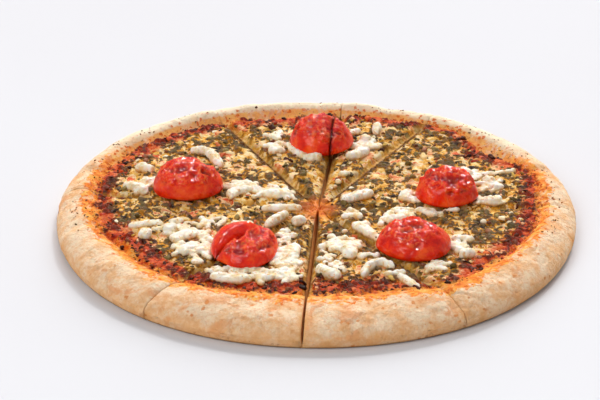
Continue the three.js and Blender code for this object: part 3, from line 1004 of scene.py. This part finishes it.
def sunk(points, depth):
    """The same points, with the flat base moved down into the topping."""
    low = np.exp(-np.maximum(points[:, 2] - TOPPING_REST, 0) / 0.5)
    return points - np.array([0, 0, 1]) * (depth * low)[:, None]


# The smaller strands of white cheese on each slice: the two ends, and the width.
SMALL_STRANDS = {
    1: [((96, 40), (115, 46), 4), ((86, 24), (90, 18), 5)],
    2: [((15, 40), (23, 40), 5), ((20, 97), (24, 99), 5)],
    3: [((-15, 79), (-8, 65), 6)],
    4: [((-99, 29), (-95, 30), 6), ((-80, 41), (-72, 43), 6)],
    5: [((-103, -28), (-88, -25), 5), ((-46, -26), (-38, -26), 6)],
    6: [],
    7: [
        ((25, -64), (35, -63), 5), ((16, -34), (27, -46), 4), ((39, -85), (52, -84), 5),
        ((46, -88), (54, -99), 5),
    ],
    8: [((14, -16), (24, -15), 5)],
}

# Where many short strands have melted together on each slice: the middle of the patch, half its length and
# half its width, its angle, and how many strands it holds.
PATCHES = {
    1: [((90, 38), 9, 5, 40, 7), ((100, 24), 8, 5, -10, 8), ((99, 6), 9, 4, 0, 8), ((56, 8), 8, 5, 20, 7)],
    2: [((26, 80), 11, 7, 30, 13), ((14, 26), 6, 4, 60, 4)],
    3: [((-23, 77), 9, 6, -20, 9), ((-23, 92), 6, 4, 40, 4)],
    4: [
        ((-98, 13), 15, 5, -18, 14), ((-60, 3), 20, 3, 8, 10), ((-48, 24), 10, 5, 20, 10),
        ((-24, 16), 15, 7, -20, 20), ((-95, 30), 6, 4, 70, 5),
    ],
    5: [
        ((-68, -50), 21, 10, 100, 33), ((-82, -32), 7, 5, 20, 7), ((-58, -21), 8, 5, 30, 6),
        ((-76, -24), 6, 3, 0, 4),
    ],
    6: [((-36, -85), 27, 6, -8, 32), ((-16, -66), 27, 7, 92, 34), ((-20, -36), 8, 5, 120, 8)],
    7: [((9, -66), 27, 7, 92, 21), ((19, -52), 12, 6, -60, 12)],
    8: [
        ((30, -34), 14, 4, -52, 12), ((22, -7), 9, 3, 0, 6), ((42, -18), 7, 4, 20, 6),
        ((62, -7), 17, 3, 5, 10), ((80, -49), 9, 5, 50, 10), ((66, -77), 9, 5, 40, 8),
    ],
}

BALL = sphere_mesh(2)


def strand(start, end, width, random, lift=0.0):
    """A soft lumpy strand between two places: a row of balls that bend a little to one side."""
    start, end = np.array(start, float), np.array(end, float)
    length = np.hypot(*(end - start))
    side = np.array([start[1] - end[1], end[0] - start[0]]) / length
    bend = random.uniform(-0.15, 0.15) * length
    balls = []
    for share in np.linspace(0, 1, max(2, round(length / 1.6))):
        spot = lerp(start, end, share) + side * bend * 4 * share * (1 - share)
        radius = width / 2 * random.uniform(0.92, 1.06)
        middle = np.array([*spot, TOPPING_Z + 0.25 * radius + 0.5 + lift])
        balls.append((BALL[0] * (np.array([1, 1, 0.75]) * radius) + middle, BALL[1]))
    return balls


def patch_strands(middle, half_long, half_wide, degrees, count, random):
    """Short strands that overlap within an oval."""
    angle = math.radians(degrees)
    along, across = axes(angle)
    balls = []
    for _ in range(count):
        turn = random.uniform(0, 2 * math.pi)
        out = math.sqrt(random.uniform(0, 1))
        spot = out * math.cos(turn) * half_long * along + out * math.sin(turn) * half_wide * across
        lean = angle + random.normal(0, 0.8)
        reach = random.uniform(1.0, 5.0) * axes(lean)[0]
        spot = np.array(middle) + spot
        width = random.uniform(2.8, 5.0)
        balls += strand(spot - reach, spot + reach, width, random, random.uniform(-0.8, 0.5))
    return balls


def clear_of_cuts(plan, balls):
    """The balls that lie wholly on one slice, and not where the knife dragged it down."""
    kept = []
    for points, triangles in balls:
        away = np.min(plan.from_cuts(*plan.locate(points)), axis=1)
        if np.all(away > np.minimum(0.5 + 0.4 * np.array(plan.grooves), 1.6)):
            kept.append((points, triangles))
    return kept


def make_white_cheese(number, material):
    """All the white cheese on one slice: its solids, made softer, and the smaller strands and patches."""
    random = np.random.default_rng(300 + number)
    nodes = [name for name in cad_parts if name.startswith(f"slice{number}_cheese")]
    parts = []
    balls = []
    for name in sorted(nodes):
        points, triangles = node_mesh(name)
        points, triangles = remeshed(sunk(points, 1.6), triangles, rounding=2, voxel=0.6, relax=2)
        parts.append((points * [1, 1, 0.95] + [0, 0, 0.2], triangles))
    for start, end, width in SMALL_STRANDS[number]:
        balls += strand(start, end, width, random)
    for patch in PATCHES[number]:
        balls += patch_strands(*patch, random)
    balls = clear_of_cuts(PLANS[number], balls)
    points, triangles = remeshed(*joined(parts + balls), rounding=0, voxel=0.5, relax=5)
    facing = normals(points, triangles)
    curds = domes(lumps(points, 2.8, 63)[0], 0.7)
    relief = 0.45 * noise(points, 6, 61) + 0.3 * noise(points, 2.4, 62) + 0.5 * curds - 0.1
    points = points + facing * relief[:, None]
    piece = add_piece(f"white_cheese_{number}", points, triangles, material, {"height": points[:, 2]})
    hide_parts(*nodes)
    return piece


# ---- Scattered bits ----

# Kinds of baked bits: a seed, how many lie on a square millimetre, between which parts of the way in to the
# sauce, their least and greatest width, how patchy they are, how far they keep from a cut, how far they stick
# out and how flat they are, for their width, a dark, a middle and a light tone, a roughness and a slot.
Kind = namedtuple(
    "Kind", "seed per_area part size sparse clear lift flat tones roughness slot", defaults=(0.35, "topping")
)
KINDS = {
    "olive_pesto": Kind(
        501, 0.02, (1.3, 9), (1.8, 4.4), -0.1, 1.4, -0.05, 0.75,
        ((66, 50, 14), (112, 92, 42), (164, 142, 86)),
    ),
    "brown_pesto": Kind(
        511, 0.01, (1.1, 9), (1.8, 4.2), 0.0, 1.4, -0.05, 0.75,
        ((70, 30, 10), (118, 60, 30), (170, 110, 74)),
    ),
    "mustard_oil": Kind(
        516, 0.014, (1.3, 9), (1.8, 4.4), -0.1, 1.2, -0.1, 0.6,
        ((150, 98, 20), (200, 146, 44), (236, 196, 100)),
    ),
    "pale_cheese": Kind(
        521, 0.02, (1.3, 9), (2.0, 5.0), -0.1, 1.2, -0.15, 0.6,
        ((226, 170, 80), (250, 214, 144), (255, 240, 208)), 0.4,
    ),
    "pink_sauce": Kind(
        527, 0.014, (1.0, 9), (1.8, 4.6), 0.1, 1.4, -0.15, 0.6,
        ((214, 90, 34), (240, 142, 84), (252, 200, 152)),
    ),
    "red_sauce": Kind(
        531, 0.03, (0.98, 1.6), (1.8, 5.0), -0.1, 1.4, -0.2, 0.6,
        ((136, 18, 0), (208, 58, 8), (242, 122, 56)), 0.3,
    ),
    "charred_bits": Kind(
        541, 0.046, (0.98, 1.6), (1.6, 4.4), 0.0, 1.4, -0.1, 0.7,
        ((44, 12, 0), (88, 32, 8), (140, 70, 38)),
    ),
    "herb_specks": Kind(
        551, 0.08, (0.35, 1.05), (0.5, 1.6), 0.1, 0.6, 0.05, 0.6,
        ((76, 44, 10), (136, 80, 24), (190, 114, 44)), 0.6, "crust",
    ),
}
SPECKS_FRONT = -0.3  # no herb specks on the rim where the sine of the angle is below this, in front
LUMP_SHAPES = 6  # how many different lumps the bits of one kind are made from
ABOVE_ALL = 60.0  # a height above everything on the pizza


def lump_shapes(seed):
    """Uneven little lumps of about unit size."""
    shapes = []
    for i in range(LUMP_SHAPES):
        points, triangles = sphere_mesh(2)
        swell = 1 + 0.7 * noise(points + 10.3 * i, 0.9, seed + i)
        shapes.append((points * swell[:, None], triangles))
    return shapes


def turned(random, count):
    """Random turns about every axis, as 3 by 3 matrices."""
    quarters = random.normal(size=(4, count))
    w, x, y, z = quarters / np.linalg.norm(quarters, axis=0)
    rows = [
        [1 - 2 * (y * y + z * z), 2 * (x * y - z * w), 2 * (x * z + y * w)],
        [2 * (x * y + z * w), 1 - 2 * (x * x + z * z), 2 * (y * z - x * w)],
        [2 * (x * z - y * w), 2 * (y * z + x * w), 1 - 2 * (x * x + y * y)],
    ]
    return np.array(rows).transpose(2, 0, 1)


def scattered(places, sizes, shapes, flat, random):
    """Lumps at the given places, each turned and stretched in its own way, with a tone for every point."""
    parts = []
    tones = []
    choice = random.integers(len(shapes), size=len(places))
    stretch = random.uniform([0.8, 0.55, 0.5], [1.4, 1.0, 0.9], size=(len(places), 3))
    turns = turned(random, len(places))
    tone = random.uniform(0, 1, len(places))
    for i, (points, triangles) in enumerate(shapes):
        chosen = choice == i
        local = points[None] * (stretch[chosen] * sizes[chosen][:, None])[:, None]
        local = np.einsum("nij,nvj->nvi", turns[chosen], local)
        local[:, :, 2] *= flat
        every = local + places[chosen][:, None]
        offsets = np.arange(chosen.sum())[:, None, None] * len(points)
        parts.append((every.reshape(-1, 3), (triangles[None] + offsets).reshape(-1, 3)))
        tones.append(np.repeat(tone[chosen], len(points)))
    points, triangles = joined(parts)
    return points, triangles, np.concatenate(tones)


def random_places(plan, kind, random):
    """Random places on one slice where bits of a kind lie: turns and distances out."""
    area = 0.5 * LONGEST**2 * (plan.last - plan.first)
    count = round(area * kind.per_area)
    turns = random.uniform(plan.first, plan.last, count)
    out = LONGEST * np.sqrt(random.uniform(0, 1, count))
    part = plan.sauce_part(turns, out)
    spots = flat_points(plan.spot(turns, out))
    patchy = noise(spots, 13, kind.seed) + 0.6 * noise(spots, 5, kind.seed + 1)
    least, most = kind.part
    kept = patchy + random.uniform(-0.7, 0.7, count) > kind.sparse
    kept &= (part > least) & (part < most)
    kept &= (np.minimum(*plan.from_cuts(turns, out)) > kind.clear) & (plan.slope(turns, out) < 0.3)
    kept &= (part > 0.9) | (np.sin(turns) > SPECKS_FRONT)
    return turns[kept], out[kept]


def surface(plan, turns, out):
    """The height of what lies on top of a slice."""
    return np.maximum(topping_top(plan, turns, out), dough_top(plan, turns, out))


def cover_tree(pieces):
    """What finds tomato and white cheese above a place."""
    points, triangles = joined([mesh_arrays(piece.data, MM) for piece in pieces])
    return BVHTree.FromPolygons(points.tolist(), triangles.tolist())


def covering_height(tree, place):
    """How high something covers a place, or -1 if nothing does."""
    hit = tree.ray_cast(Vector((place[0], place[1], ABOVE_ALL)), Vector((0, 0, -1)))[0]
    return -1 if hit is None else hit.z


def scatter(name, kind, covers):
    """One joined mesh of all the bits of one kind."""
    random = np.random.default_rng(kind.seed)
    places = []
    sizes = []
    for plan in PLANS.values():
        turns, out = random_places(plan, kind, random)
        least, most = kind.size
        size = least * (most / least) ** (random.uniform(0, 1, len(turns)) ** 1.4)
        height = surface(plan, turns, out) + kind.lift * size
        places.append(np.column_stack([plan.spot(turns, out), height]))
        sizes.append(size / 2)
    places, sizes = np.concatenate(places), np.concatenate(sizes)
    free = np.array([covering_height(covers, place) < place[2] - 1 for place in places])
    shapes = lump_shapes(kind.seed)
    points, triangles, tone = scattered(places[free], sizes[free], shapes, kind.flat, random)
    material = crumb_material(name, kind.tones, kind.roughness)
    piece = add_piece(name, points, triangles, material, {"tone": tone})


# ---- Floor, light and camera ----

CAMERA_PLACE = (0.87, -1453.8, 732.0)
CAMERA_AHEAD = (-0.00635, 0.89716, -0.44165)
LENS = 170.4  # on a sensor 36 mm wide


def make_floor():
    look = Look("studio_floor", Roughness=0.7, Specular_IOR_Level=0.1)
    base = look.ramp(look.noise(400), [(0.3, (221, 220, 224)), (0.7, (224, 224, 228))])
    mesh = bpy.data.meshes.new("floor")
    half = 6.0  # metres
    corners = [(-half, -half, 0), (half, -half, 0), (half, half, 0), (-half, half, 0)]
    mesh.from_pydata(corners, [], [(0, 1, 2, 3)])
    mesh.materials.append(look.finish(Base_Color=base))
    floor = bpy.data.objects.new("floor", mesh)
    bpy.context.scene.collection.objects.link(floor)


def make_world():
    """Even pale light from all sides."""
    world = bpy.data.worlds.new("studio")
    world.use_nodes = True
    background = world.node_tree.nodes["Background"]
    background.inputs["Color"].default_value = (1.0, 0.99, 0.98, 1)
    background.inputs["Strength"].default_value = 0.4
    bpy.context.scene.world = world


def sun(name, place, strength, width, diffuse=True, glossy=True):
    """Even light from the direction of a place; the width is in degrees, and larger is softer.

    One that isn't glossy lights things without a reflection of itself. One that isn't diffuse only glints.
    """
    light = bpy.data.lights.new(name, "SUN")
    light.energy = strength
    light.angle = math.radians(width)
    lamp = bpy.data.objects.new(name, light)
    lamp.location = place
    lamp.rotation_euler = (-Vector(place)).to_track_quat("-Z", "Y").to_euler()
    lamp.visible_diffuse = diffuse
    lamp.visible_glossy = glossy
    bpy.context.scene.collection.objects.link(lamp)


def make_lights():
    sun("softbox_back", (0.15, 1.0, 0.45), 3.5, 44, glossy=False)
    sun("lamp_back", (0.3, 1.0, 0.8), 0.8, 6)
    sun("lamp_above", (0.1, 0.3, 1.0), 3.0, 13, diffuse=False)
    sun("softbox_left", (-0.9, -0.7, 1.0), 1.1, 40)


def make_camera():
    camera = bpy.data.cameras.new("camera")
    camera.lens = LENS
    camera.sensor_width = 36
    camera.clip_end = 20
    holder = bpy.data.objects.new("camera", camera)
    ahead = Vector(CAMERA_AHEAD)
    holder.location = Vector(CAMERA_PLACE) * MM
    holder.rotation_euler = ahead.to_track_quat("-Z", "Y").to_euler()
    bpy.context.scene.collection.objects.link(holder)
    bpy.context.scene.camera = holder


# ---- Everything ----

make_camera()
make_floor()
make_world()
make_lights()
bpy.context.scene.view_settings.view_transform = "Standard"

dough = crust_material()
melted = topping_material()
for plan in PLANS.values():
    make_crust(plan, dough)
    make_topping(plan, melted)

tomato_skin = tomato_material()
tomatoes = [make_tomato(tomato, number, tomato_skin) for tomato in TOMATOES for number in tomato.slices]
soft_cheese = white_cheese_material()
cheeses = [make_white_cheese(number, soft_cheese) for number in SLICES]

covers = cover_tree(tomatoes + cheeses)
for name, kind in KINDS.items():
    scatter(name, kind, covers)
